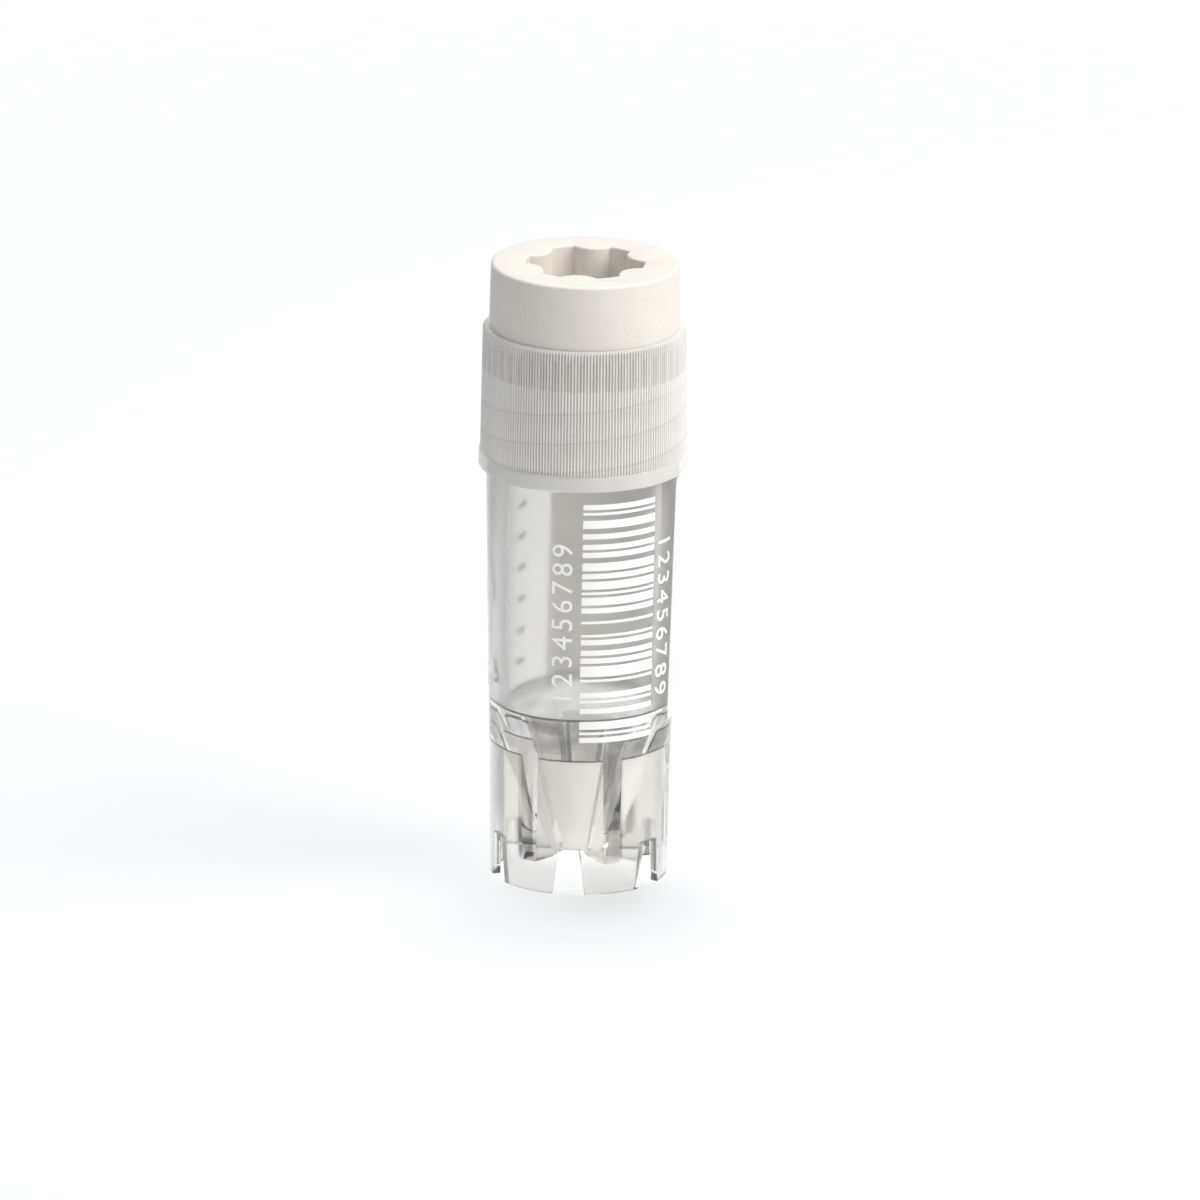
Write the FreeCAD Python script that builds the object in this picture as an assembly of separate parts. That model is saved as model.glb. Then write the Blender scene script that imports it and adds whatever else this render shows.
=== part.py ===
import FreeCAD, Part
import math
import os

from FreeCAD import Vector

# A self-standing cryogenic vial with an outside thread and a screw cap. Millimetres, +Z up along the
# vial's axis, origin at the centre of the foot. Radii are measured from that axis, heights from the base.

# Tube: bore, walls and neck
bore_rim_radius = 5.23        # bore at the rim
bore_draft_deg = 0.65         # the bore narrows downwards by this
body_wall = 1.26              # wall at the shoulder
neck_wall = 0.62              # wall of the neck, between the thread's ridges
shoulder_height = 28.0        # base to the shoulder under the cap
neck_length = 6.9             # shoulder to rim
neck_root_chamfer = 0.2       # in the corner between the shoulder and the neck
rim_chamfer = 0.15

# Tube: conical bottom
cone_top_height = 11.9        # base to the end of the straight bore
cone_tip_height = 3.6         # base to the lower end of the cone
cone_tip_radius = 1.8
tip_dish = 0.6                # depth of the dished tip below the cone
cone_wall = 1.08              # square to the cone

# Tube: foot
foot_bore_radius = 5.30
foot_wall = 0.56
foot_recess = 2.0             # the cone's tip and the ribs end this far above the base
tip_round = 0.6               # rounding round the cone's tip, outside
rib_count = 6
rib_top_width = 1.34
rib_foot_width = 1.05
notch_height = 3.12
notch_top_width = 1.38
notch_foot_width = 2.14

# Thread: two starts, right-handed
thread_starts = 2
thread_pitch = 2.0            # from one ridge to the next, along the axis
thread_depth = 0.30
ridge_base_width = 1.10
ridge_crest_width = 0.60
ridge_sink = 0.15             # a ridge's root lies this deep in its wall
thread_foot_margin = 1.2      # shoulder to the middle of a ridge at its lower end
thread_rim_margin = 0.7       # middle of a ridge at its upper end to the rim
thread_start_deg = -99.0      # where the first ridge's lower end stands, from +X

# Clearances
thread_clearance = 0.10       # ridge crest to the facing wall
shoulder_gap = 0.10           # shoulder to the lower edge of the skirt
spigot_clearance = 0.15       # spigot to the tube's bore
ring_clearance = 0.05         # sealing ring to the spigot, and to the skirt's bore

# Cap skirt
skirt_wall = 0.37             # at the top, between the grip's ribs
skirt_draft_deg = 0.67        # the grip widens downwards by this
grip_rib_count = 200
grip_rib_height = 0.10
grip_top_chamfer = 0.15
band_height = 1.05            # plain band below the grip
band_step = 0.10              # the band stands this far outside the grip
band_round = 0.18
lip_thickness = 0.75          # top lip of the skirt, held between the insert's head and collar

# Sealing ring
ring_thickness = 0.60

# Cap insert
head_height = 4.35            # top of the skirt to the top of the cap
head_top_draft = 0.08         # the head narrows upwards by this
head_round = 0.20
ledge_width = 0.42            # top of the skirt that shows round the head
collar_height = 1.40
collar_inset = 0.15           # collar's teeth to the skirt's bore
tooth_count = 48
tooth_depth = 0.25
waist_inset = 0.60            # waist between head and collar, from the collar's teeth
spigot_length = 1.30
spigot_wall = 0.75
socket_floor_thickness = 1.50
socket_lobe_count = 6
socket_radius = 3.90          # to the ends of the lobes
socket_bulge_radius = 1.50
socket_bulge_reach = 0.78     # how far a bulge comes inside the lobes' circle
socket_chamfer = 0.12

# Worked out from the sizes above
rim_height = shoulder_height + neck_length
neck_radius = bore_rim_radius + neck_wall
thread_crest_radius = neck_radius + thread_depth
thread_lead = thread_starts * thread_pitch
tube_thread_height = shoulder_height + thread_foot_margin
cap_thread_height = tube_thread_height + thread_pitch / 2
thread_top_height = rim_height - thread_rim_margin

skirt_bore_radius = thread_crest_radius + thread_clearance
skirt_foot_height = shoulder_height + shoulder_gap
band_top_height = skirt_foot_height + band_height
ring_top_height = rim_height + ring_thickness
collar_top_height = ring_top_height + collar_height
skirt_top_height = collar_top_height + lip_thickness
grip_top_radius = skirt_bore_radius + skirt_wall
grip_crest_top_radius = grip_top_radius + grip_rib_height
grip_length = skirt_top_height - band_top_height
grip_spread = grip_length * math.tan(math.radians(skirt_draft_deg))
band_radius = grip_crest_top_radius + grip_spread + band_step

collar_radius = skirt_bore_radius - collar_inset
waist_radius = collar_radius - waist_inset
spigot_radius = bore_rim_radius - spigot_clearance
spigot_bore_radius = spigot_radius - spigot_wall
head_base_radius = grip_crest_top_radius - ledge_width
head_top_radius = head_base_radius - head_top_draft
cap_top_height = skirt_top_height + head_height
socket_floor_height = ring_top_height + socket_floor_thickness

MARGIN = 1.0                  # how far a cutting tool runs past the face that it opens
ABOUT_Z = Vector(0, 0, 1)


def bore_radius(height):
    """Radius of the drafted bore at a height."""
    return bore_rim_radius - (rim_height - height) * math.tan(math.radians(bore_draft_deg))


cone_top_radius = bore_radius(cone_top_height)
cone_slope = (cone_top_radius - cone_tip_radius) / (cone_top_height - cone_tip_height)
cone_wall_across = cone_wall * math.sqrt(1 + cone_slope ** 2)
body_radius = bore_radius(shoulder_height) + body_wall
foot_radius = foot_bore_radius + foot_wall


def cone_outer_radius(height):
    """Outside radius of the conical bottom at a height."""
    return cone_top_radius + cone_wall_across - (cone_top_height - height) * cone_slope


pocket_top_height = cone_top_height - (cone_top_radius + cone_wall_across - foot_bore_radius) / cone_slope


def revolve(start, *steps):
    """Solid of revolution. A step is the next (radius, height), or a (through, end) pair for an arc."""
    edges = []
    at = Vector(start[0], 0, start[1])
    for step in list(steps) + [start]:
        if isinstance(step[0], tuple):
            through, end = [Vector(r, 0, z) for r, z in step]
            edges.append(Part.Arc(at, through, end).toShape())
        else:
            end = Vector(step[0], 0, step[1])
            edges.append(Part.LineSegment(at, end).toShape())
        at = end
    face = Part.Face(Part.Wire(edges))
    return face.revolve(Vector(0, 0, 0), ABOUT_Z, 360)


def arc_about(centre, start, end):
    """Arc step of revolve, from start to end about a centre."""
    half_way = ((start[0] + end[0]) / 2 - centre[0], (start[1] + end[1]) / 2 - centre[1])
    reach = math.dist(centre, start) / math.hypot(*half_way)
    return (centre[0] + half_way[0] * reach, centre[1] + half_way[1] * reach), end


def turned(shape, angle_deg):
    """Copy of a shape, turned about the vial's axis."""
    copy = shape.copy()
    copy.rotate(Vector(0, 0, 0), ABOUT_Z, angle_deg)
    return copy


def repeated(shape, count):
    """Copies of a shape, evenly spaced round the axis."""
    return [turned(shape, k * 360.0 / count) for k in range(count)]


def tapered_slab(low_z, low_width, high_z, high_width, near, far):
    """Slab along +X from near to far, whose width across Y changes with height."""
    corners = [
        Vector(near, -low_width / 2, low_z),
        Vector(near, low_width / 2, low_z),
        Vector(near, high_width / 2, high_z),
        Vector(near, -high_width / 2, high_z),
    ]
    face = Part.Face(Part.makePolygon(corners + corners[:1]))
    return face.extrude(Vector(far - near, 0, 0))


def thread_ridges(base_radius, outward, low_z):
    """One ridge for each start, up to the thread's top. outward is 1 on a neck, -1 in a bore."""
    root = base_radius - outward * ridge_sink
    crest = base_radius + outward * thread_depth
    slope = (ridge_base_width - ridge_crest_width) / 2 / thread_depth
    root_half = ridge_base_width / 2 + slope * ridge_sink
    crest_half = ridge_crest_width / 2
    section = [
        Vector(root, 0, -root_half),
        Vector(crest, 0, -crest_half),
        Vector(crest, 0, crest_half),
        Vector(root, 0, root_half),
    ]
    profile = Part.makePolygon(section + section[:1])
    helix = Part.makeHelix(thread_lead, thread_top_height - low_z, base_radius)
    ridge = Part.Wire(helix.Edges).makePipeShell([profile], True, True)
    ridge.translate(Vector(0, 0, low_z))
    return [turned(ridge, thread_start_deg + k * 360.0 / thread_starts) for k in range(thread_starts)]


def make_foot_hollow():
    """Space under the cone and inside the foot, less the ribs that join the two."""
    corner_radius = cone_outer_radius(foot_recess)
    cone_angle = math.atan2(1, cone_slope)
    tangent = tip_round * math.tan(cone_angle / 2)
    on_end = (corner_radius - tangent, foot_recess)
    on_cone = (
        corner_radius + tangent * math.cos(cone_angle),
        foot_recess + tangent * math.sin(cone_angle),
    )
    hollow = revolve(
        (0, -MARGIN),
        (foot_bore_radius, -MARGIN),
        (foot_bore_radius, pocket_top_height),
        on_cone,
        arc_about((on_end[0], foot_recess + tip_round), on_cone, on_end),
        (0, foot_recess),
    )
    rib = tapered_slab(
        foot_recess, rib_foot_width, pocket_top_height, rib_top_width, 0, foot_radius
    )
    return hollow.cut(repeated(rib, rib_count))


def make_notches():
    """Openings through the foot's wall, midway between the ribs, wider at the base."""
    flare = (notch_foot_width - notch_top_width) / notch_height
    notch = tapered_slab(
        -MARGIN, notch_foot_width + flare * MARGIN,
        notch_height, notch_top_width,
        foot_bore_radius - MARGIN, foot_radius + MARGIN,
    )
    return repeated(turned(notch, 180.0 / rib_count), rib_count)


def make_tube():
    """Clear tube with a threaded neck, a conical bottom and a ribbed, notched foot: one moulding."""
    dish_radius = (cone_tip_radius ** 2 + tip_dish ** 2) / (2 * tip_dish)
    tip_bottom = (0, cone_tip_height - tip_dish)
    dish_centre = (0, tip_bottom[1] + dish_radius)
    cone_tip = (cone_tip_radius, cone_tip_height)
    tube = revolve(
        (0, 0),
        (foot_radius, 0),
        (body_radius, shoulder_height),
        (neck_radius + neck_root_chamfer, shoulder_height),
        (neck_radius, shoulder_height + neck_root_chamfer),
        (neck_radius, rim_height - rim_chamfer),
        (neck_radius - rim_chamfer, rim_height),
        (bore_rim_radius + rim_chamfer, rim_height),
        (bore_radius(rim_height - rim_chamfer), rim_height - rim_chamfer),
        (cone_top_radius, cone_top_height),
        cone_tip,
        arc_about(dish_centre, cone_tip, tip_bottom),
    )
    tube = tube.cut([make_foot_hollow()] + make_notches())
    ridges = thread_ridges(neck_radius, 1, tube_thread_height)
    return tube.fuse(ridges)


def grip_ring(height, crest_radius):
    """Closed zigzag of points round the grip, from crest to root and back."""
    root_radius = crest_radius * grip_top_radius / grip_crest_top_radius
    points = []
    for k in range(2 * grip_rib_count):
        radius = root_radius if k % 2 else crest_radius
        angle = math.pi * k / grip_rib_count
        points.append(Vector(radius * math.cos(angle), radius * math.sin(angle), height))
    return points + points[:1]


def make_grip(low, high):
    """Ribbed frustum between two zigzag rings."""
    faces = [Part.Face(Part.makePolygon(low)), Part.Face(Part.makePolygon(high))]
    for a, b, c, d in zip(low, low[1:], high[1:], high):
        faces.append(Part.Face(Part.makePolygon([a, b, c, d, a])))
    return Part.makeSolid(Part.makeShell(faces))


def make_cap_skirt(core):
    """Translucent skirt: ribbed grip, plain band and inside thread, moulded round the insert's core."""
    foot_ring = grip_ring(band_top_height, grip_crest_top_radius + grip_spread)
    edge_ring = grip_ring(skirt_top_height - grip_top_chamfer, grip_crest_top_radius)
    top_ring = grip_ring(skirt_top_height, grip_crest_top_radius - grip_top_chamfer)
    band_inner, band_outer = band_radius - band_round, band_radius
    band_edge = skirt_foot_height + band_round
    band = revolve(
        (0, skirt_foot_height),
        (band_inner, skirt_foot_height),
        arc_about((band_inner, band_edge), (band_inner, skirt_foot_height), (band_outer, band_edge)),
        (band_outer, band_top_height),
        (0, band_top_height),
    )
    bore = revolve(
        (0, skirt_foot_height - MARGIN),
        (skirt_bore_radius, skirt_foot_height - MARGIN),
        (skirt_bore_radius, ring_top_height),
        (0, ring_top_height),
    )
    grip = [make_grip(foot_ring, edge_ring), make_grip(edge_ring, top_ring)]
    skirt = band.fuse(grip).cut([bore, core])
    ridges = thread_ridges(skirt_bore_radius, -1, cap_thread_height)
    return skirt.fuse(ridges)


def make_socket():
    """Six-lobed drive socket: a round recess with bulges that stand in between the lobes."""
    recess = Part.makeCylinder(
        socket_radius, cap_top_height - socket_floor_height + MARGIN, Vector(0, 0, socket_floor_height)
    )
    axis_radius = socket_radius - socket_bulge_reach + socket_bulge_radius
    bulge = revolve(
        (0, socket_floor_height - MARGIN),
        (socket_bulge_radius, socket_floor_height - MARGIN),
        (socket_bulge_radius, cap_top_height - socket_chamfer),
        (socket_bulge_radius - socket_chamfer - MARGIN, cap_top_height + MARGIN),
        (0, cap_top_height + MARGIN),
    )
    bulge.translate(Vector(axis_radius, 0, 0))
    mouth = revolve(
        (0, cap_top_height - socket_chamfer),
        (socket_radius, cap_top_height - socket_chamfer),
        (socket_radius + socket_chamfer + MARGIN, cap_top_height + MARGIN),
        (0, cap_top_height + MARGIN),
    )
    bulges = repeated(turned(bulge, 180.0 / socket_lobe_count), socket_lobe_count)
    return recess.fuse(mouth).cut(bulges)


def make_insert_core():
    """The cap insert before its socket is cut: head, waist, toothed collar and spigot."""
    head_side = (head_top_radius, cap_top_height - head_round)
    head_end = (head_top_radius - head_round, cap_top_height)
    head_centre = (head_end[0], head_side[1])
    core = revolve(
        (0, ring_top_height),
        (spigot_bore_radius, ring_top_height),
        (spigot_bore_radius, ring_top_height - spigot_length),
        (spigot_radius, ring_top_height - spigot_length),
        (spigot_radius, ring_top_height),
        (collar_radius, ring_top_height),
        (collar_radius, collar_top_height),
        (waist_radius, collar_top_height),
        (waist_radius, skirt_top_height),
        (head_base_radius, skirt_top_height),
        head_side,
        arc_about(head_centre, head_side, head_end),
        (0, cap_top_height),
    )
    gap_width = math.pi * collar_radius / tooth_count
    gap = Part.makeBox(
        tooth_depth + MARGIN, gap_width, collar_height,
        Vector(collar_radius - tooth_depth, -gap_width / 2, ring_top_height),
    )
    return core.cut(repeated(gap, tooth_count))


def make_seal_ring():
    """Flat silicone ring between the tube's rim and the insert's collar, round the spigot."""
    inner = spigot_radius + ring_clearance
    outer = skirt_bore_radius - ring_clearance
    return revolve(
        (inner, rim_height),
        (outer, rim_height),
        (outer, ring_top_height),
        (inner, ring_top_height),
    )


def main():
    core = make_insert_core()
    pieces = {
        "tube": make_tube(),
        "cap_skirt": make_cap_skirt(core),
        "cap_insert": core.cut(make_socket()),
        "seal_ring": make_seal_ring(),
    }
    os.makedirs("parts", exist_ok=True)
    for name, shape in pieces.items():
        solid = shape.removeSplitter()
        print(name, "solids", len(solid.Solids), "valid", solid.isValid(), "volume", round(solid.Volume, 2))
        solid.exportStep(f"parts/{name}.step")


main()
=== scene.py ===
import math

import bmesh
import bpy
from mathutils import Matrix, Quaternion, Vector


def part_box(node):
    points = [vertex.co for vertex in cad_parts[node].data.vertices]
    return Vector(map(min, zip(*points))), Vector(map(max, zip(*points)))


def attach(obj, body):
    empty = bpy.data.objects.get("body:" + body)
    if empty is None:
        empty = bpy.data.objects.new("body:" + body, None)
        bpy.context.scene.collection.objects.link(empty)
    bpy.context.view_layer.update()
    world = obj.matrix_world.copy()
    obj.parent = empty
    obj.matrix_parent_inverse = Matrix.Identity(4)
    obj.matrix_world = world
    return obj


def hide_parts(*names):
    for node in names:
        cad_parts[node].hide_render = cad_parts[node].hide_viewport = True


# A self-standing cryogenic vial: clear tube, translucent cap skirt, white insert, sealing ring and print.
# Meshes are shaped in millimetres, with +Z up the vial's axis, and scaled to metres when they are finished.

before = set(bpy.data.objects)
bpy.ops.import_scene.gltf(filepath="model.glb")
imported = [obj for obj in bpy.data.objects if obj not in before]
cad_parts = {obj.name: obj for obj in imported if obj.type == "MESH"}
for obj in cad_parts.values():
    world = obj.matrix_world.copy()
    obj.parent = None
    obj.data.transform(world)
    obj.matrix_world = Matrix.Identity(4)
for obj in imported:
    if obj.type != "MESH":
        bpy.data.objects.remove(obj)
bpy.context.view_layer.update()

MM = 0.001

# Sizes in millimetres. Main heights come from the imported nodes.
rim_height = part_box("tube")[1].z / MM
skirt_foot_height, skirt_top_height = [corner.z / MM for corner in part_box("cap_skirt")]
spigot_foot_height, cap_top_height = [corner.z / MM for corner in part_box("cap_insert")]
ring_top_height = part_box("seal_ring")[1].z / MM
band_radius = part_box("cap_skirt")[1].x / MM

shoulder_height = 28.0
foot_radius = 5.86
body_radius = 6.41
neck_radius = 5.85
bore_rim_radius = 5.23
bore_foot_radius = 4.97
cone_top_height = 11.9
cone_edge = 0.1
cone_tip_height = 3.6
cone_tip_radius = 1.8
tip_dish = 0.6
foot_bore_radius = 5.30
foot_recess = 2.0
pocket_top_height = 9.74
pocket_foot_radius = 2.345
rib_top_width = 1.34
rib_foot_width = 1.05
notch_height = 3.12
notch_top_width = 1.38
notch_foot_width = 2.14

thread_lead = 4.0
thread_depth = 0.30
thread_sink = 0.15
thread_root_half = 0.68
thread_crest_half = 0.30
thread_start_deg = -99.0
tube_thread_low = 29.2
cap_thread_low = 30.2
thread_top = 34.2
thread_line_drop = 0.25

skirt_bore_radius = 6.25
grip_top_radius = 6.72
grip_foot_radius = 6.82
grip_rib_count = 200
grip_rib_height = 0.10
band_top_height = 29.15

collar_radius = 6.10
collar_top_height = 36.9
tooth_count = 48
tooth_depth = 0.25
waist_radius = 5.50
spigot_radius = 5.08
spigot_bore_radius = 4.33
head_base_radius = 6.30
head_top_radius = 6.22
socket_floor_height = 37.0
socket_radius = 3.90
bulge_radius = 1.50
bulge_axis_radius = 4.62
lobe_count = 6


# Mesh tools, in millimetres

def linked(bm, name):
    """An object in the scene with this mesh."""
    mesh = bpy.data.meshes.new(name)
    bm.to_mesh(mesh)
    bm.free()
    holder = bpy.data.objects.new(name, mesh)
    bpy.context.scene.collection.objects.link(holder)
    return holder


def finished(bm, name, body, slot, *materials, smooth_deg=35.0):
    """Ends a mesh shaped in millimetres: sharp edges, metres, materials and its body. The slot argument is
    not used.
    """
    for face in bm.faces:
        face.smooth = True
    for edge in bm.edges:
        if len(edge.link_faces) == 2:
            edge.smooth = edge.calc_face_angle() < math.radians(smooth_deg)
    bmesh.ops.scale(bm, vec=(MM, MM, MM), verts=bm.verts)
    piece = linked(bm, name)
    for material in materials:
        piece.data.materials.append(material)
    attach(piece, body)
    return piece


def clean(bm):
    """Merges doubled points and turns every face outwards."""
    bmesh.ops.remove_doubles(bm, verts=bm.verts, dist=1e-4)
    bmesh.ops.dissolve_degenerate(bm, edges=bm.edges, dist=1e-5)
    bmesh.ops.recalc_face_normals(bm, faces=bm.faces)
    return bm


def rounded(corners, steps=4):
    """Points of a profile of (radius, height) corners. A third number rounds its corner."""
    points = []
    for k, corner in enumerate(corners):
        at = Vector(corner[:2])
        if len(corner) == 2:
            points.append(at)
            continue
        before = (Vector(corners[k - 1][:2]) - at).normalized()
        after = (Vector(corners[(k + 1) % len(corners)][:2]) - at).normalized()
        half = before.angle(after) / 2
        centre = at + (before + after).normalized() * corner[2] / math.sin(half)
        reach = corner[2] / math.tan(half)
        for j in range(steps + 1):
            spoke = (at + before * reach - centre).lerp(at + after * reach - centre, j / steps)
            points.append(centre + spoke.normalized() * corner[2])
    return points


def spun(corners, steps=192):
    """Shell of revolution whose profile starts and ends on the axis."""
    bm = bmesh.new()
    verts = [bm.verts.new((point.x, 0, point.y)) for point in rounded(corners)]
    edges = [bm.edges.new(pair) for pair in zip(verts, verts[1:])]
    bmesh.ops.spin(
        bm, geom=verts + edges, cent=(0, 0, 0), axis=(0, 0, 1), angle=math.tau, steps=steps, use_merge=True
    )
    return clean(bm)


def lofted(levels, segments, closed=False):
    """Shell through rings. A level is (radius, height), the radius a number or a function of the angle."""
    bm = bmesh.new()
    ring = bmesh.ops.create_circle(bm, segments=segments, radius=1.0, cap_ends=not closed)["verts"]
    edges = first = list(bm.edges)
    for k, (radius, height) in enumerate(levels):
        if k:
            made = bmesh.ops.extrude_edge_only(bm, edges=edges)["geom"]
            ring = [item for item in made if isinstance(item, bmesh.types.BMVert)]
            edges = [item for item in made if isinstance(item, bmesh.types.BMEdge)]
        for vert in ring:
            angle = math.atan2(vert.co.y, vert.co.x)
            reach = radius(angle) if callable(radius) else radius
            vert.co = Vector((math.cos(angle) * reach, math.sin(angle) * reach, height))
    if closed:
        bmesh.ops.bridge_loops(bm, edges=first + edges)
    else:
        bmesh.ops.contextual_create(bm, geom=edges)
    bmesh.ops.recalc_face_normals(bm, faces=bm.faces)
    return bm


def combined(bm, tool, operation="DIFFERENCE"):
    """A mesh with a tool cut out of it or joined to it. Its faces keep the finishes that they had."""
    holders = [linked(part, "part") for part in (bm, tool)]
    for holder in holders:
        for finish in tube_finishes:
            holder.data.materials.append(finish)
    modifier = holders[0].modifiers.new("combine", "BOOLEAN")
    modifier.operation = operation
    modifier.solver = "EXACT"
    modifier.object = holders[1]
    result = bmesh.new()
    result.from_object(holders[0], bpy.context.evaluated_depsgraph_get())
    for holder in holders:
        bpy.data.objects.remove(holder)
    return result


# Materials

class Value:
    """A socket of a material. Python operators on it add Math nodes."""

    def __init__(self, finish, socket):
        self.finish = finish
        self.socket = socket

    def __add__(self, other):
        return self.finish.math("ADD", self, other)

    def __radd__(self, other):
        return self.finish.math("ADD", other, self)

    def __sub__(self, other):
        return self.finish.math("SUBTRACT", self, other)

    def __rsub__(self, other):
        return self.finish.math("SUBTRACT", other, self)

    def __mul__(self, other):
        return self.finish.math("MULTIPLY", self, other)

    def __rmul__(self, other):
        return self.finish.math("MULTIPLY", other, self)

    def __truediv__(self, other):
        return self.finish.math("DIVIDE", self, other)

    def __rtruediv__(self, other):
        return self.finish.math("DIVIDE", other, self)

    def smoothstep(self, low, high):
        """0 below low, 1 above high, and a smooth ramp between them."""
        inputs = {"Value": self, "From Min": low, "From Max": high}
        return self.finish.node("ShaderNodeMapRange", {"interpolation_type": "SMOOTHSTEP"}, inputs)


class Finish:
    """The nodes of a material or of the world, under construction."""

    def __init__(self, owner):
        self.owner = owner
        owner.use_nodes = True
        self.tree = owner.node_tree
        self.tree.nodes.clear()

    def node(self, kind, settings=None, inputs=None, output=0):
        """Adds a node: its settings first, then its sockets' values or links. Gives one of its outputs."""
        made = self.tree.nodes.new(kind)
        for key, value in (settings or {}).items():
            setattr(made, key, value)
        for key, value in (inputs or {}).items():
            if isinstance(value, Value):
                self.tree.links.new(value.socket, made.inputs[key])
            else:
                made.inputs[key].default_value = value
        return Value(self, made.outputs[output]) if made.outputs else None

    def math(self, operation, *values):
        return self.node("ShaderNodeMath", {"operation": operation}, dict(enumerate(values)))

    def place(self):
        """Place on the piece, in metres from the vial's foot."""
        return self.node("ShaderNodeTexCoord", output="Object")

    def parts(self, place):
        """x, y and height of a place."""
        return [self.node("ShaderNodeSeparateXYZ", inputs={"Vector": place}, output=axis) for axis in "XYZ"]

    def noise(self, place, scale, detail, distortion=0.0):
        inputs = {"Vector": place, "Scale": scale, "Detail": detail, "Distortion": distortion}
        return self.node("ShaderNodeTexNoise", inputs=inputs)

    def stretched(self, place, across, along):
        """A place stretched into streaks: across is the scale round the vial, along the scale up it."""
        return self.node("ShaderNodeMapping", inputs={"Vector": place, "Scale": (across, across, along)})

    def mixed(self, share, first, second):
        """Two colours mixed by the share of the second."""
        return self.node("ShaderNodeMix", {"data_type": "RGBA"}, {0: share, 6: first, 7: second}, output=2)

    def blend(self, share, first, second):
        """Two shaders mixed by the share of the second."""
        return self.node("ShaderNodeMixShader", inputs={0: share, 1: first, 2: second})

    def bump(self, height, strength, distance):
        inputs = {"Height": height, "Strength": strength, "Distance": distance}
        return self.node("ShaderNodeBump", inputs=inputs, output="Normal")

    def principled(self, **inputs):
        """A Principled shader. An underscore in a socket's name stands for its space."""
        sockets = {name.replace("_", " "): value for name, value in inputs.items()}
        return self.node("ShaderNodeBsdfPrincipled", inputs=sockets)

    def ray(self, question):
        """What the Light Path node says of the ray, such as Is Camera Ray."""
        return self.node("ShaderNodeLightPath", output=question)

    def end(self, surface, kind="ShaderNodeOutputMaterial"):
        self.node(kind, inputs={"Surface": surface})
        return self.owner


def colour(red, green, blue):
    return (red, green, blue, 1.0)


def material(name):
    return Finish(bpy.data.materials.new(name))


# Shares of painted shade on the tube's thick parts, from the cone down to the foot. The shade stands in for
# dark surroundings seen through the solid plastic.
solid_painted_shade = 0.03
cone_rim_painted_shade = 0.2
swirl_painted_shade = 0.4
rib_painted_shade = 0.12
streak_painted_shade = 0.4
rib_foot_painted_shade = 0.8
hem_painted_shade = 0.22
rib_edge_turn = 0.095


def painted_refraction_shade(f, place):
    """How much painted shade lies on the thick parts of the moulding, such as the cone and the ribs, at a
    place. It stands in for dark surroundings seen through them.
    """
    x, y, height = f.parts(place)
    sixth = f.math("ARCTAN2", y, x) / math.tau * 6
    aside = f.math("PINGPONG", sixth + 12, 0.5)
    rib = 1 - aside.smoothstep(rib_edge_turn - 0.01, rib_edge_turn + 0.01)
    pocket = 1 - height.smoothstep((pocket_top_height - 0.05) * MM, (pocket_top_height + 0.05) * MM)
    solid = 1 - height.smoothstep((cone_top_height - 0.3) * MM, (cone_top_height + 0.1) * MM)
    cone_rim = height.smoothstep((cone_top_height - 1.0) * MM, (cone_top_height - 0.4) * MM)
    swirl = f.noise(f.stretched(place, 200.0, 600.0), 1.0, 1.0, 0.6).smoothstep(0.46, 0.54)
    cone_part = solid * (1 - pocket) * (solid_painted_shade + cone_rim_painted_shade * cone_rim + swirl_painted_shade * swirl)
    streak = f.noise(f.stretched(place, 1500.0, 160.0), 1.0, 1.0).smoothstep(0.42, 0.58)
    rib_foot = 1 - height.smoothstep(3.0 * MM, 8.0 * MM)
    rib = rib * height.smoothstep(foot_recess * MM, (foot_recess + 0.8) * MM)
    thick = solid * (1 - pocket) + pocket * rib
    rib_part = thick * pocket * (rib_painted_shade + streak_painted_shade * streak + rib_foot_painted_shade * rib_foot)
    hem = 1 - height.smoothstep(1.5 * MM, 3.0 * MM)
    return cone_part + rib_part + hem_painted_shade * hem


def clear_plastic(name, clearness, roughness, pale, dark):
    """Clear moulded plastic. Lamps shine through it, what isn't clear in it is milky, and its thick parts
    carry painted shade.
    """
    f = material(name)
    place = f.place()
    waves = f.noise(f.stretched(place, 900.0, 220.0), 1.0, 2.0)
    # Painted shade: the thick parts are darkened towards dark grey, for dark surroundings seen through them.
    tone = f.mixed(painted_refraction_shade(f, place), f.mixed(waves, dark, pale), colour(0.20, 0.195, 0.19))
    glass = f.principled(
        Base_Color=tone,
        Transmission_Weight=clearness,
        Roughness=roughness + 0.02 * waves,
        IOR=1.49,
        Normal=f.bump(waves, 0.03, 0.00005),
    )
    through = f.node("ShaderNodeBsdfTransparent", inputs={"Color": colour(0.99, 0.99, 0.99)})
    return f.end(f.blend(f.ray("Is Shadow Ray"), glass, through))


# Shares of the painted shade drawn on the skirt's wall where shapes lie inside it, and of the skirt's
# milkiness and its band's clearness
collar_shade = 0.11
tooth_gap_shade = 0.17
thread_line_shade = 0.22
thread_ramp_shade = 0.07
skirt_milkiness = 0.88
band_clearness = 0.12


def grip_groove_shade(f, radius, height):
    """Painted shade of the grip's grooves: 1 down in the grooves, 0 on its ribs and away from it."""
    spread = (grip_foot_radius - grip_top_radius) / (skirt_top_height - band_top_height)
    crest = (grip_foot_radius + spread * band_top_height) * MM - spread * height
    depth = (crest - radius) / (grip_rib_height * MM)
    return depth.smoothstep(0.3, 0.95) * (1 - depth.smoothstep(1.5, 2.0))


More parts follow.
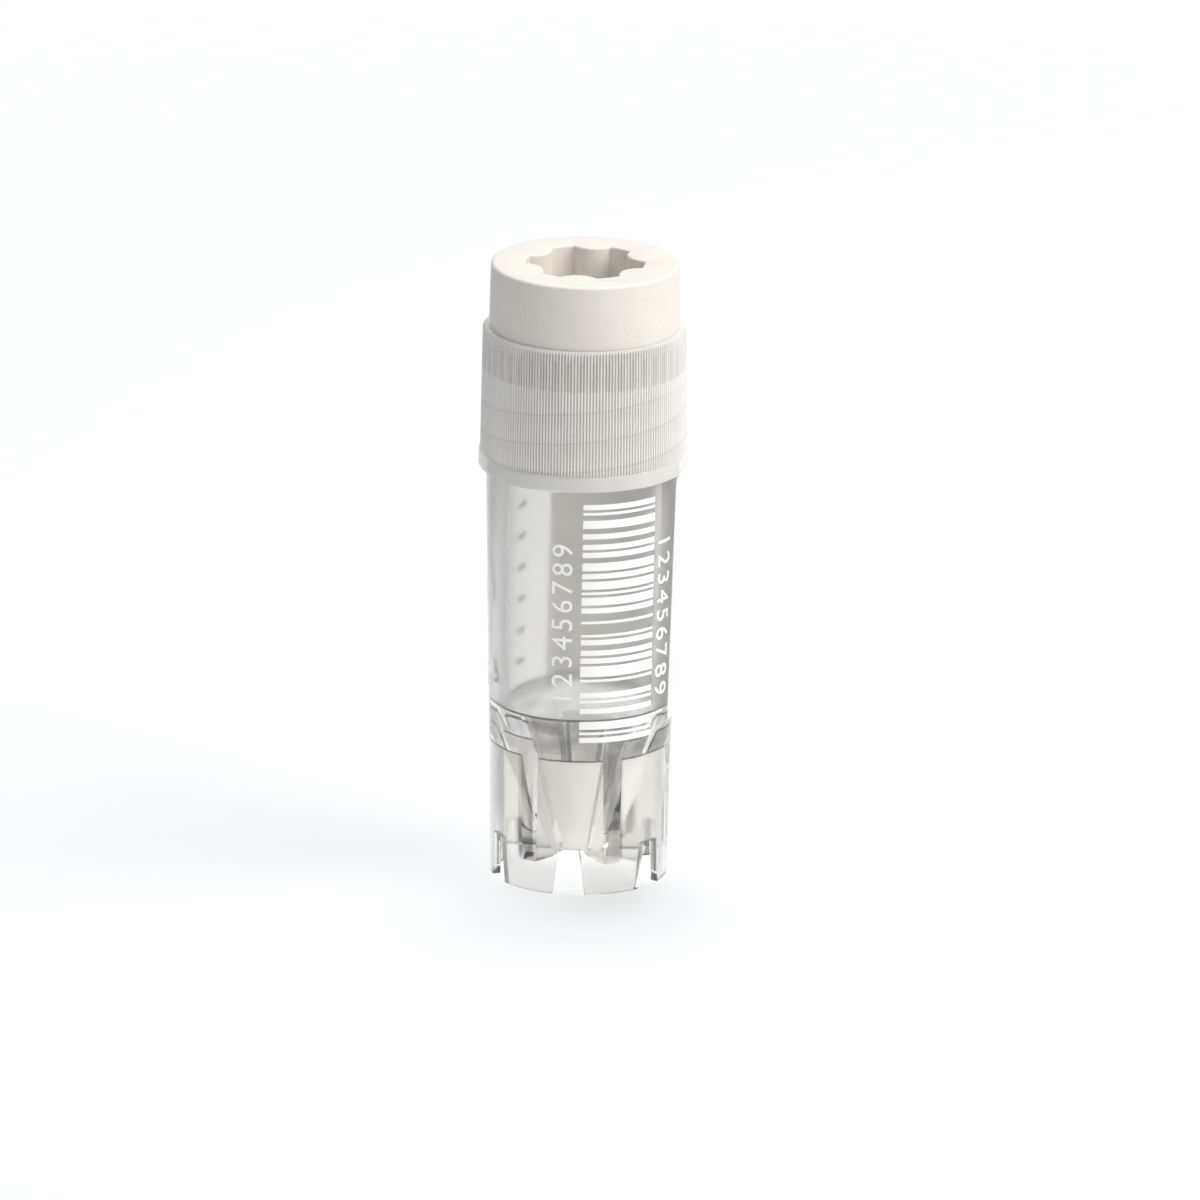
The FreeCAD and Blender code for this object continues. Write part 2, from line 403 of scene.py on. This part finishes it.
def inside_shade(f, turns, height):
    """Painted shade of the insert's collar and teeth, and of the thread, drawn on the skirt's wall where they
    lie behind it.
    """
    climb = height / (thread_lead / 2 * MM) - turns * 2
    start_height = cap_thread_low - thread_root_half - thread_line_drop
    phase = f.math("FRACT", climb - (start_height / (thread_lead / 2) - thread_start_deg / 180) + 100)
    threaded = height.smoothstep((band_top_height - 0.3) * MM, band_top_height * MM)
    threaded = threaded * (1 - height.smoothstep((thread_top - 0.2) * MM, thread_top * MM))
    line = 1 - phase.smoothstep(0.03, 0.10)
    ramp = phase.smoothstep(0.3, 0.95)
    collar = height.smoothstep(rim_height * MM, (rim_height + 0.1) * MM)
    below_top = 1 - height.smoothstep(collar_top_height * MM, (collar_top_height + 0.1) * MM)
    tooth = f.math("FRACT", turns * tooth_count + 100)
    gap = tooth.smoothstep(0.45, 0.55) * (1 - tooth.smoothstep(0.92, 1.0)) * collar * below_top
    thread_shade = (thread_line_shade * line + thread_ramp_shade * ramp) * threaded
    return collar_shade * collar + tooth_gap_shade * gap + thread_shade


def natural_plastic():
    """Milky, unpigmented plastic of the skirt, with painted shade in its grooves and painted shade of what is
    inside it.
    """
    f = material("natural_plastic")
    place = f.place()
    x, y, height = f.parts(place)
    radius = f.math("SQRT", x * x + y * y)
    turns = f.math("ARCTAN2", y, x) / math.tau
    haze = f.noise(f.stretched(place, 700.0, 140.0), 1.0, 3.0)
    ledge = height.smoothstep((skirt_top_height - 0.17) * MM, (skirt_top_height - 0.14) * MM)
    band = 1 - height.smoothstep((band_top_height - 0.02) * MM, (band_top_height + 0.02) * MM)
    milk = f.mixed(haze, colour(0.95, 0.935, 0.91), colour(0.99, 0.975, 0.95))
    # Painted shade: the grooves are coloured darker, as shade in them.
    tone = f.mixed(grip_groove_shade(f, radius, height) * (1 - ledge), milk, colour(0.64, 0.625, 0.60))
    tone = f.mixed(band, tone, colour(0.80, 0.79, 0.77))
    # Painted shade: the collar, the teeth and the thread inside are drawn darker on the skirt's wall.
    tone = f.mixed(inside_shade(f, turns, height), tone, colour(0.30, 0.285, 0.26))
    shell = f.principled(Base_Color=tone, Roughness=0.25 + 0.1 * haze, IOR=1.49)
    glow = f.node("ShaderNodeBsdfTranslucent", inputs={"Color": colour(0.85, 0.84, 0.82)})
    through = f.node("ShaderNodeBsdfTransparent", inputs={"Color": colour(0.98, 0.98, 0.97)})
    wall = f.blend(skirt_milkiness - band_clearness * band, through, f.blend(0.15, shell, glow))
    rim = f.blend(0.5, through, f.principled(Base_Color=milk, Roughness=0.3, IOR=1.49))
    facing = f.node("ShaderNodeLayerWeight", inputs={"Blend": 0.5}, output="Facing")
    return f.end(f.blend(0.75 * facing.smoothstep(0.45, 0.62) * (1 - ledge), wall, rim))


def white_plastic():
    """Warm white, slightly speckled plastic of the insert."""
    f = material("white_plastic")
    grains = f.noise(f.place(), 9000.0, 3.0)
    clouds = f.noise(f.place(), 420.0, 2.0)
    tone = f.mixed(0.75 * grains + 0.25 * clouds, colour(0.57, 0.54, 0.50), colour(0.83, 0.79, 0.74))
    bump = f.bump(grains, 0.15, 0.00003)
    return f.end(f.principled(Base_Color=tone, Roughness=0.42 + 0.1 * grains, IOR=1.46, Normal=bump))


def mottled(name, scale, pale, dark):
    """Soft sheen with fine, even grains: the sealing ring's silicone, and the inks of the print."""
    f = material(name)
    grains = f.noise(f.place(), scale, 2.0)
    return f.end(f.principled(Base_Color=f.mixed(grains, dark, pale), Roughness=0.45 + 0.1 * grains))


clear_finish = clear_plastic("clear_plastic", 1.0, 0.01, colour(0.95, 0.94, 0.92), colour(0.92, 0.91, 0.885))
bore_finish = clear_plastic("matt_bore", 0.80, 0.17, colour(0.95, 0.94, 0.925), colour(0.92, 0.91, 0.89))
foot_finish = clear_plastic("matt_foot", 0.20, 0.22, colour(0.99, 0.98, 0.96), colour(0.96, 0.95, 0.93))
# Painted shade: the pockets' roofs and the edge where the bore meets the cone are coloured near black, as
# dark lines along these edges.
edge_shade_finish = clear_plastic("shaded_edge", 0.30, 0.30, colour(0.22, 0.215, 0.205), colour(0.16, 0.155, 0.145))
# Painted shade: the inside of the cone is coloured a darker grey than the rest of the clear plastic, for the
# shade seen through it.
cone_shade_finish = clear_plastic("painted_shade_cone", 1.0, 0.03, colour(0.72, 0.715, 0.705), colour(0.55, 0.545, 0.535))
wall_finish = clear_plastic("frosted_wall", 1.0, 0.14, colour(0.95, 0.94, 0.92), colour(0.90, 0.89, 0.87))
tube_finishes = [clear_finish, bore_finish, foot_finish, edge_shade_finish, cone_shade_finish, wall_finish]
CLEAR, BORE, FOOT, EDGE, CONE, WALL = range(len(tube_finishes))
skirt_finish = natural_plastic()
insert_finish = white_plastic()
# Painted shade: the sealing ring is coloured mid grey, for the shadow it sits in between the tube's rim and
# the insert.
ring_shade_finish = mottled("shaded_silicone", 900.0, colour(0.60, 0.59, 0.57), colour(0.50, 0.49, 0.47))
ink_scale = 5200.0
ink_face = mottled("white_ink", ink_scale, colour(0.94, 0.935, 0.92), colour(0.88, 0.875, 0.86))
# Painted shade: the panel's face is a grey below the white of its back, toned down for the light on it, and
# the backs of the digits, ticks and labels are near black, for their unlit side.
panel_face_shade = mottled("panel_ink", ink_scale, colour(0.78, 0.775, 0.765), colour(0.72, 0.715, 0.705))
panel_back = mottled("panel_ink_back", ink_scale, colour(0.955, 0.95, 0.935), colour(0.925, 0.92, 0.905))
mark_shaded_back = mottled("mark_ink_shaded_back", ink_scale, colour(0.12, 0.118, 0.115), colour(0.09, 0.088, 0.085))

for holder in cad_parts["seal_ring"].material_slots:
    holder.material = ring_shade_finish


# Tube

def thread(radius, outward, low):
    """Two ridges of the thread, as closed helical bars. outward is 1 on a neck and -1 in a bore."""
    bm = bmesh.new()
    root, crest = radius - outward * thread_sink, radius + outward * thread_depth
    section = [
        (root, -thread_root_half), (crest, -thread_crest_half),
        (crest, thread_crest_half), (root, thread_root_half),
    ]
    rise = thread_top - low
    steps = round(192 * rise / thread_lead)
    for start_deg in (thread_start_deg, thread_start_deg + 180):
        verts = [bm.verts.new((r, 0, low + h)) for r, h in section]
        face = bm.faces.new(verts)
        turn = Matrix.Rotation(math.radians(start_deg), 3, "Z")
        bmesh.ops.rotate(bm, matrix=turn, verts=verts)
        bmesh.ops.spin(
            bm, geom=verts + list(face.edges) + [face], cent=(0, 0, 0), axis=(0, 0, 1),
            dvec=(0, 0, rise / steps), angle=math.tau * rise / thread_lead, steps=steps,
        )
    return clean(bm)


def slab(near, far, low, low_width, high, high_width, turn_deg):
    """Slab along a spoke of the vial, whose width changes with height."""
    bm = bmesh.new()
    verts = bmesh.ops.create_cube(bm, size=1.0)["verts"]
    for vert in verts:
        at_top = vert.co.z > 0
        along = far if vert.co.x > 0 else near
        width = high_width if at_top else low_width
        vert.co = Vector((along, vert.co.y * width, high if at_top else low))
    bmesh.ops.rotate(bm, matrix=Matrix.Rotation(math.radians(turn_deg), 3, "Z"), verts=verts)
    return bm


def make_tube():
    """Clear tube with its threaded neck, conical bottom and ribbed, notched foot."""
    hollow = spun([
        (0, -1), (foot_bore_radius, -1), (foot_bore_radius, pocket_top_height, 0.12),
        (pocket_foot_radius, foot_recess, 0.5), (0, foot_recess),
    ])
    for face in hollow.faces:
        face.material_index = WALL if abs(face.normal.z) < 0.1 else FOOT
        if face.normal.z > 0.45 and face.calc_center_median().z > pocket_top_height - 1:
            face.material_index = EDGE
    for turn_deg in (0, 60, 120):
        hollow = combined(hollow, slab(
            -foot_radius, foot_radius, foot_recess, rib_foot_width, pocket_top_height, rib_top_width, turn_deg
        ))
    tube = spun([
        (0, 0), (foot_radius, 0, 0.07), (body_radius, shoulder_height, 0.12),
        (neck_radius, shoulder_height, 0.15), (neck_radius, rim_height, 0.14),
        (bore_rim_radius, rim_height, 0.14), (bore_foot_radius, cone_top_height, 0.5),
        (cone_tip_radius, cone_tip_height, 0.4),
        (1.2, cone_tip_height - 0.36, 0.5), (0, cone_tip_height - tip_dish),
    ])
    for face in tube.faces:
        middle = face.calc_center_median()
        if face.normal.xy.dot(middle.xy) < 0:
            if middle.z > cone_top_height + cone_edge:
                face.material_index = BORE
            elif middle.z > cone_top_height - cone_edge:
                face.material_index = EDGE
            else:
                face.material_index = CONE
    tube = combined(tube, hollow)
    for turn_deg in range(30, 390, 60):
        tube = combined(tube, slab(
            foot_bore_radius - 1, foot_radius + 1,
            -notch_height, 2 * notch_foot_width - notch_top_width, notch_height, notch_top_width, turn_deg,
        ))
    tube = combined(tube, thread(neck_radius, 1, tube_thread_low), "UNION")
    piece = finished(tube, "clear_tube", "tube", "tube_clear", *tube_finishes)
    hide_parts("tube")
    return piece


make_tube()


# Cap

def ribbed(radius):
    """Radius round the grip: a rib and a groove in turn."""
    step = math.tau / grip_rib_count / 4

    def reach(angle):
        return radius - grip_rib_height * (round(angle / step) % 4 > 1)
    return reach


def make_skirt():
    """Translucent skirt: ribbed grip, plain band, lip held under the insert's head, and inside thread."""
    levels = [tuple(point) for point in rounded([
        (skirt_bore_radius, skirt_foot_height), (band_radius, skirt_foot_height, 0.18),
        (band_radius, band_top_height, 0.06), (grip_foot_radius + 0.01, band_top_height),
    ])]
    levels += [
        (ribbed(grip_foot_radius), band_top_height + 0.01),
        (ribbed(grip_top_radius), skirt_top_height - 0.15),
        (grip_top_radius - 0.12, skirt_top_height - 0.02),
        (grip_top_radius - 0.18, skirt_top_height), (waist_radius, skirt_top_height),
        (waist_radius, collar_top_height), (collar_radius, collar_top_height),
        (collar_radius, ring_top_height), (skirt_bore_radius, ring_top_height),
    ]
    skirt = lofted(levels, 4 * grip_rib_count, closed=True)
    skirt = combined(skirt, thread(skirt_bore_radius, -1, cap_thread_low), "UNION")
    piece = finished(skirt, "translucent_skirt", "cap", "skirt_natural", skirt_finish)
    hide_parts("cap_skirt")
    return piece


def lobed(offset):
    """Radius round the drive socket, its walls moved outwards by an offset."""
    def reach(angle):
        apart = (angle + math.radians(30)) % math.radians(60) - math.radians(30)
        aside = math.radians(30) - abs(apart)
        across = (bulge_radius - offset) ** 2 - (bulge_axis_radius * math.sin(aside)) ** 2
        near = bulge_axis_radius * math.cos(aside) - math.sqrt(max(across, 0))
        return min(near, socket_radius + offset) if across > 0 else socket_radius + offset
    return reach


def toothed(radius):
    """Radius round the collar: a tooth and a gap in turn."""
    def reach(angle):
        return radius - tooth_depth * (angle * tooth_count / math.tau % 1 > 0.5)
    return reach


def make_insert():
    """White insert: head with its lobed drive socket, waist, toothed collar and spigot."""
    mouth = 0.14
    fillet = 0.2
    levels = [(lobed(-fillet), socket_floor_height), (lobed(-0.06), socket_floor_height + 0.06)]
    levels += [(lobed(0), socket_floor_height + fillet), (lobed(0), cap_top_height - mouth)]
    for k in (1, 2, 3):
        turn = math.radians(30 * k)
        levels.append((
            lobed(mouth * (1 - math.cos(turn))), cap_top_height - mouth * (1 - math.sin(turn))
        ))
    outer = rounded([
        (socket_radius, cap_top_height), (head_top_radius, cap_top_height, 0.22),
        (head_base_radius, skirt_top_height, 0.05), (waist_radius, skirt_top_height),
    ])[1:]
    levels += [tuple(point) for point in outer]
    levels += [
        (waist_radius, collar_top_height), (toothed(collar_radius), collar_top_height),
        (toothed(collar_radius), ring_top_height), (spigot_radius, ring_top_height),
    ]
    levels += [tuple(point) for point in rounded([
        (spigot_radius, ring_top_height), (spigot_radius, spigot_foot_height, 0.1),
        (spigot_bore_radius, spigot_foot_height, 0.1), (spigot_bore_radius, ring_top_height),
    ])[1:]]
    piece = finished(lofted(levels, 720), "white_insert", "cap", "insert_white", insert_finish)
    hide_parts("cap_insert")
    return piece


make_skirt()
make_insert()


# Print: thin ink on the tube's outside, with a finish for its face and one for its back, seen through
# the wall. The panel's face is painted a shaded grey, and the backs of the digits, ticks and labels are
# painted near black, as painted shade. Its back lies just inside the wall's surface, so that no air shows
# between wall and ink.
# Angles run from +X, heights from the base.

ink_sink = 0.006
ink_thickness = 0.026

bars_low, bars_high = 10.63, 27.16
bars_centre_deg = -58.85
bars_half_deg = 24.5
# widths of white bar and gap in turn, for a plain counting row
bar_widths = "2112322221223121311131231411222121411421122331112"

digits_row = "123456789"
digit_height = 1.385
digit_pitch = 1.28
left_digits_deg = -95.1
left_digits_height = 18.8
right_digits_deg = -23.75
right_digits_height = 18.7

panel_start_deg = -10.85
panel_end_deg = 121.7
panel_low = 10.97
panel_high = 27.6
panel_corner_radius = 0.9

tick_count = 6
tick_low = 13.29
tick_pitch = 2.06
tick_half_width = 0.55
tick_half_height = 0.19
ticks_centre_deg = 151.5
label_size = 1.6
label_one_height = 19.35
label_half_height = 13.74
label_centre_deg = 187.5


def wall_radius(height):
    """Outside radius of the tube's tapered wall."""
    return foot_radius + (body_radius - foot_radius) * height / shoulder_height


def wrapped(bm, centre_deg):
    """Wraps a mesh round the tube, x along the wall, y upwards and z outwards."""
    for vert in bm.verts:
        radius = wall_radius(vert.co.y) - ink_sink + vert.co.z
        angle = math.radians(centre_deg) + vert.co.x / wall_radius(vert.co.y)
        vert.co = Vector((radius * math.cos(angle), radius * math.sin(angle), vert.co.y))
    return bm


def ink_piece(bm, name, centre_deg, face, back):
    """Thickens a flat mesh, wraps it and finishes it with its two faces of ink."""
    bmesh.ops.recalc_face_normals(bm, faces=bm.faces)
    for side in bm.faces:
        if side.normal.z < 0:
            side.normal_flip()
    flat = list(bm.faces)
    copied = bmesh.ops.extrude_face_region(bm, geom=flat)
    raised = [item for item in copied["geom"] if isinstance(item, bmesh.types.BMVert)]
    bmesh.ops.translate(bm, vec=(0, 0, ink_thickness), verts=raised)
    bmesh.ops.recalc_face_normals(bm, faces=bm.faces)
    for side in bm.faces:
        side.material_index = 1 if side.normal.z < -0.5 else 0
    wrapped(bm, centre_deg)
    return finished(bm, name, "tube", None, face, back)


def patch(bm, low, high, columns):
    """A flat rectangle from its low corner to its high corner, in columns."""
    made = bmesh.ops.create_grid(bm, x_segments=columns, y_segments=1, size=0.5)
    middle = [(a + b) / 2 for a, b in zip(low, high)]
    size = [b - a for a, b in zip(low, high)]
    bmesh.ops.scale(bm, vec=(size[0], size[1], 1), verts=made["verts"])
    bmesh.ops.translate(bm, vec=(middle[0], middle[1], 0), verts=made["verts"])


def make_bars():
    """Column of white bars along the tube."""
    bm = bmesh.new()
    module = (bars_high - bars_low) / sum(int(w) for w in bar_widths)
    top = bars_high
    half = math.radians(bars_half_deg) * wall_radius((bars_low + bars_high) / 2)
    for k, width in enumerate(bar_widths):
        low = top - int(width) * module
        if k % 2 == 0:
            patch(bm, (-half, low), (half, top), 32)
        top = low
    return ink_piece(bm, "print_bars", bars_centre_deg, ink_face, panel_back)


def text_mesh(text, height):
    """Flat mesh of a line of digits, its middle at the origin."""
    curve = bpy.data.curves.new("digits", "FONT")
    curve.body = text
    curve.align_x = "CENTER"
    curve.align_y = "CENTER"
    curve.resolution_u = 6
    holder = bpy.data.objects.new("digits", curve)
    bpy.context.scene.collection.objects.link(holder)
    mesh = bpy.data.meshes.new_from_object(holder.evaluated_get(bpy.context.evaluated_depsgraph_get()))
    bm = bmesh.new()
    bm.from_mesh(mesh)
    bpy.data.objects.remove(holder)
    bmesh.ops.remove_doubles(bm, verts=bm.verts, dist=1e-5)
    low = min(v.co.y for v in bm.verts)
    high = max(v.co.y for v in bm.verts)
    size = height / (high - low)
    middle_x = (min(v.co.x for v in bm.verts) + max(v.co.x for v in bm.verts)) / 2
    bmesh.ops.translate(bm, vec=(-middle_x, -(low + high) / 2, 0), verts=bm.verts)
    bmesh.ops.scale(bm, vec=(size, size, 1), verts=bm.verts)
    return bm


def sliced(bm, spacing=0.2):
    """Cuts a flat mesh into narrow columns, so that it bends well when it is wrapped."""
    reach = max(abs(vert.co.x) for vert in bm.verts)
    for k in range(-int(reach / spacing), int(reach / spacing) + 1):
        everything = list(bm.verts) + list(bm.edges) + list(bm.faces)
        bmesh.ops.bisect_plane(
            bm, geom=everything, dist=1e-5, plane_co=(k * spacing, 0, 0), plane_no=(1, 0, 0)
        )
    return bm


def digits_column(name, turn_deg, centre_deg, centre_height):
    """Digits one after another along the tube, turned to be read upwards or downwards."""
    bm = bmesh.new()
    for k, digit in enumerate(digits_row):
        one = text_mesh(digit, digit_height)
        along = (k - (len(digits_row) - 1) / 2) * digit_pitch
        bmesh.ops.translate(one, vec=(along, 0, 0), verts=one.verts)
        mesh = bpy.data.meshes.new("digit")
        one.to_mesh(mesh)
        one.free()
        bm.from_mesh(mesh)
    turn = Matrix.Rotation(math.radians(turn_deg), 3, "Z")
    bmesh.ops.rotate(bm, matrix=turn, verts=bm.verts)
    bmesh.ops.translate(bm, vec=(0, centre_height, 0), verts=bm.verts)
    return ink_piece(sliced(bm), name, centre_deg, ink_face, mark_shaded_back)


def make_panel():
    """White writing panel with rounded corners."""
    bm = bmesh.new()
    middle_deg = (panel_start_deg + panel_end_deg) / 2
    half = math.radians(panel_end_deg - panel_start_deg) / 2 * wall_radius((panel_low + panel_high) / 2)
    patch(bm, (-half, panel_low), (half, panel_high), 96)
    corners = [vert for vert in bm.verts if abs(abs(vert.co.x) - half) < 0.001]
    bmesh.ops.bevel(
        bm, geom=corners, offset=panel_corner_radius, affect="VERTICES", segments=6, profile=0.5, material=-1
    )
    return ink_piece(bm, "print_panel", middle_deg, panel_face_shade, panel_back)


def make_scale():
    """Ticks of the scale on the tube's far side."""
    bm = bmesh.new()
    for k in range(tick_count):
        height = tick_low + k * tick_pitch
        low = (-tick_half_width, height - tick_half_height)
        high = (tick_half_width, height + tick_half_height)
        patch(bm, low, high, 8)
    return ink_piece(bm, "print_scale", ticks_centre_deg, ink_face, mark_shaded_back)


def make_label(name, text, height):
    """Number beside the scale's ticks."""
    bm = text_mesh(text, label_size)
    bmesh.ops.translate(bm, vec=(0, height, 0), verts=bm.verts)
    return ink_piece(sliced(bm), name, label_centre_deg, ink_face, mark_shaded_back)


make_bars()
digits_column("print_digits_left", 90, left_digits_deg, left_digits_height)
digits_column("print_digits_right", -90, right_digits_deg, right_digits_height)
make_panel()
make_scale()
make_label("print_label_one", "1", label_one_height)
make_label("print_label_half", ".5", label_half_height)


# Stage and lamps

floor_radius = 0.9
floor_gap = 0.00002
floor_glow = 0.45
glass_glow = 0.1
side_shade = 0.42
belt_shade = 0.8
ambient = 0.35
lamp_distance = 0.5
lamp_aim = Vector((0, 0, 0.02))


def seen(f):
    """1 for the rays that see the white background, 0 for those that gather soft light."""
    looking = f.ray("Is Camera Ray") + f.ray("Is Glossy Ray") + f.ray("Is Transmission Ray")
    return f.math("MINIMUM", looking, 1.0)


def gathered(f):
    """1 for the rays that gather light through the clear plastic. They see a plain white background."""
    return f.math("MINIMUM", f.ray("Diffuse Depth"), 1.0)


def ahead(x, y):
    """1 in front of the vial and behind it, 0 at its sides."""
    return (y * y / (x * x + y * y + 1e-9)).smoothstep(0.25, 0.85)


def make_floor():
    """Pale floor that keeps the vial's shadow and fades into the white background far away. Clear and glossy
    pieces see it darker beside the vial, as a painted dark reflection.
    """
    f = material("studio_floor")
    x, y, height = f.parts(f.place())
    radius = f.math("SQRT", x * x + y * y)
    matt = f.node("ShaderNodeBsdfDiffuse", inputs={"Color": colour(0.765, 0.785, 0.81)})
    glow = f.node("ShaderNodeEmission", inputs={"Color": colour(1, 1, 1), "Strength": 1.0})
    dark = f.node("ShaderNodeEmission", inputs={"Color": colour(0, 0, 0), "Strength": 0.0})
    camera_ray = f.ray("Is Camera Ray")
    near = 1 - radius.smoothstep(0.006, 0.030)
    horizon = radius.smoothstep(0.05, 0.25)
    camera_glow = floor_glow * (1 - 0.8 * near) + (1 - floor_glow) * horizon
    glow_share = glass_glow * seen(f) + (camera_glow - glass_glow) * camera_ray
    beside = radius.smoothstep(0.010, 0.028) * (1 - ahead(x, y))
    # Painted dark reflection: glossy and transmission rays see the floor darker at the vial's sides.
    shade = (seen(f) - camera_ray) * side_shade * beside * (1 - gathered(f))
    bm = bmesh.new()
    bmesh.ops.create_circle(bm, cap_ends=True, segments=96, radius=floor_radius)
    floor = linked(bm, "floor")
    floor.data.materials.append(f.end(f.blend(shade, f.blend(glow_share, matt, glow), dark)))
    floor.location.z = -floor_gap


def make_world():
    """White background. Clear and glossy pieces see it darker at the sides and in a belt higher up."""
    f = Finish(bpy.data.worlds.new("studio"))
    x, y, up = f.parts(f.node("ShaderNodeTexCoord", output="Generated"))
    belt = up.smoothstep(0.15, 0.35) * (1 - up.smoothstep(0.75, 0.95))
    shaded = (1 - side_shade * (1 - ahead(x, y))) * (1 - belt_shade * belt)
    backdrop = shaded + gathered(f) * (1 - shaded)
    camera_ray = f.ray("Is Camera Ray")
    strength = ambient * (1 - seen(f)) + camera_ray + backdrop * (seen(f) - camera_ray)
    background = f.node("ShaderNodeBackground", inputs={"Color": colour(1, 1, 1), "Strength": strength})
    bpy.context.scene.world = f.end(background, "ShaderNodeOutputWorld")


def lamp(name, size, power, tint, azimuth_deg, elevation_deg):
    """A round soft lamp that faces the vial. Azimuth runs from +X, elevation from the floor."""
    light = bpy.data.lights.new(name, "AREA")
    light.shape = "DISK"
    light.size = size
    light.energy = power
    light.color = tint
    holder = bpy.data.objects.new(name, light)
    bpy.context.scene.collection.objects.link(holder)
    a, e = math.radians(azimuth_deg), math.radians(elevation_deg)
    out = Vector((math.cos(a) * math.cos(e), math.sin(a) * math.cos(e), math.sin(e)))
    holder.location = out * lamp_distance + lamp_aim
    holder.rotation_euler = out.to_track_quat("Z", "Y").to_euler()


make_floor()
make_world()
lamp("key_lamp", 0.40, 2.1, (1.0, 0.975, 0.93), -10.0, 40.0)
lamp("top_lamp", 0.30, 1.68, (0.97, 0.985, 1.0), 100.0, 75.0)
lamp("front_lamp", 0.20, 0.34, (1.0, 0.985, 0.96), -62.0, 10.0)


# Camera: long lens from the front, slightly above

view_azimuth_deg = 6.65
view_elevation_deg = 17.0
view_roll_deg = 0.65
view_lens = 800.0
view_sensor = 36.0
view_width = 0.07944
aim_height = 0.01866
aim_aside = 0.001225

lens = bpy.data.cameras.new("camera")
lens.lens = view_lens
lens.sensor_width = view_sensor
camera = bpy.data.objects.new("camera", lens)
bpy.context.scene.collection.objects.link(camera)
azimuth, elevation = math.radians(view_azimuth_deg), math.radians(view_elevation_deg)
back = Vector((
    math.sin(azimuth) * math.cos(elevation),
    -math.cos(azimuth) * math.cos(elevation),
    math.sin(elevation),
))
upright = (-back).to_track_quat("-Z", "Y")
camera_turn = upright @ Quaternion((0, 0, 1), math.radians(view_roll_deg))
aim = Vector((0, 0, aim_height)) + camera_turn @ Vector((aim_aside, 0, 0))
camera.rotation_mode = "QUATERNION"
camera.rotation_quaternion = camera_turn
camera.location = aim + back * (view_width * view_lens / view_sensor)
lens.clip_start = 0.01
lens.clip_end = 10.0
bpy.context.scene.camera = camera

scene = bpy.context.scene
scene.view_settings.view_transform = "Standard"
scene.cycles.max_bounces = 24
scene.cycles.transmission_bounces = 24
scene.cycles.transparent_max_bounces = 24
scene.cycles.glossy_bounces = 8
scene.cycles.diffuse_bounces = 4
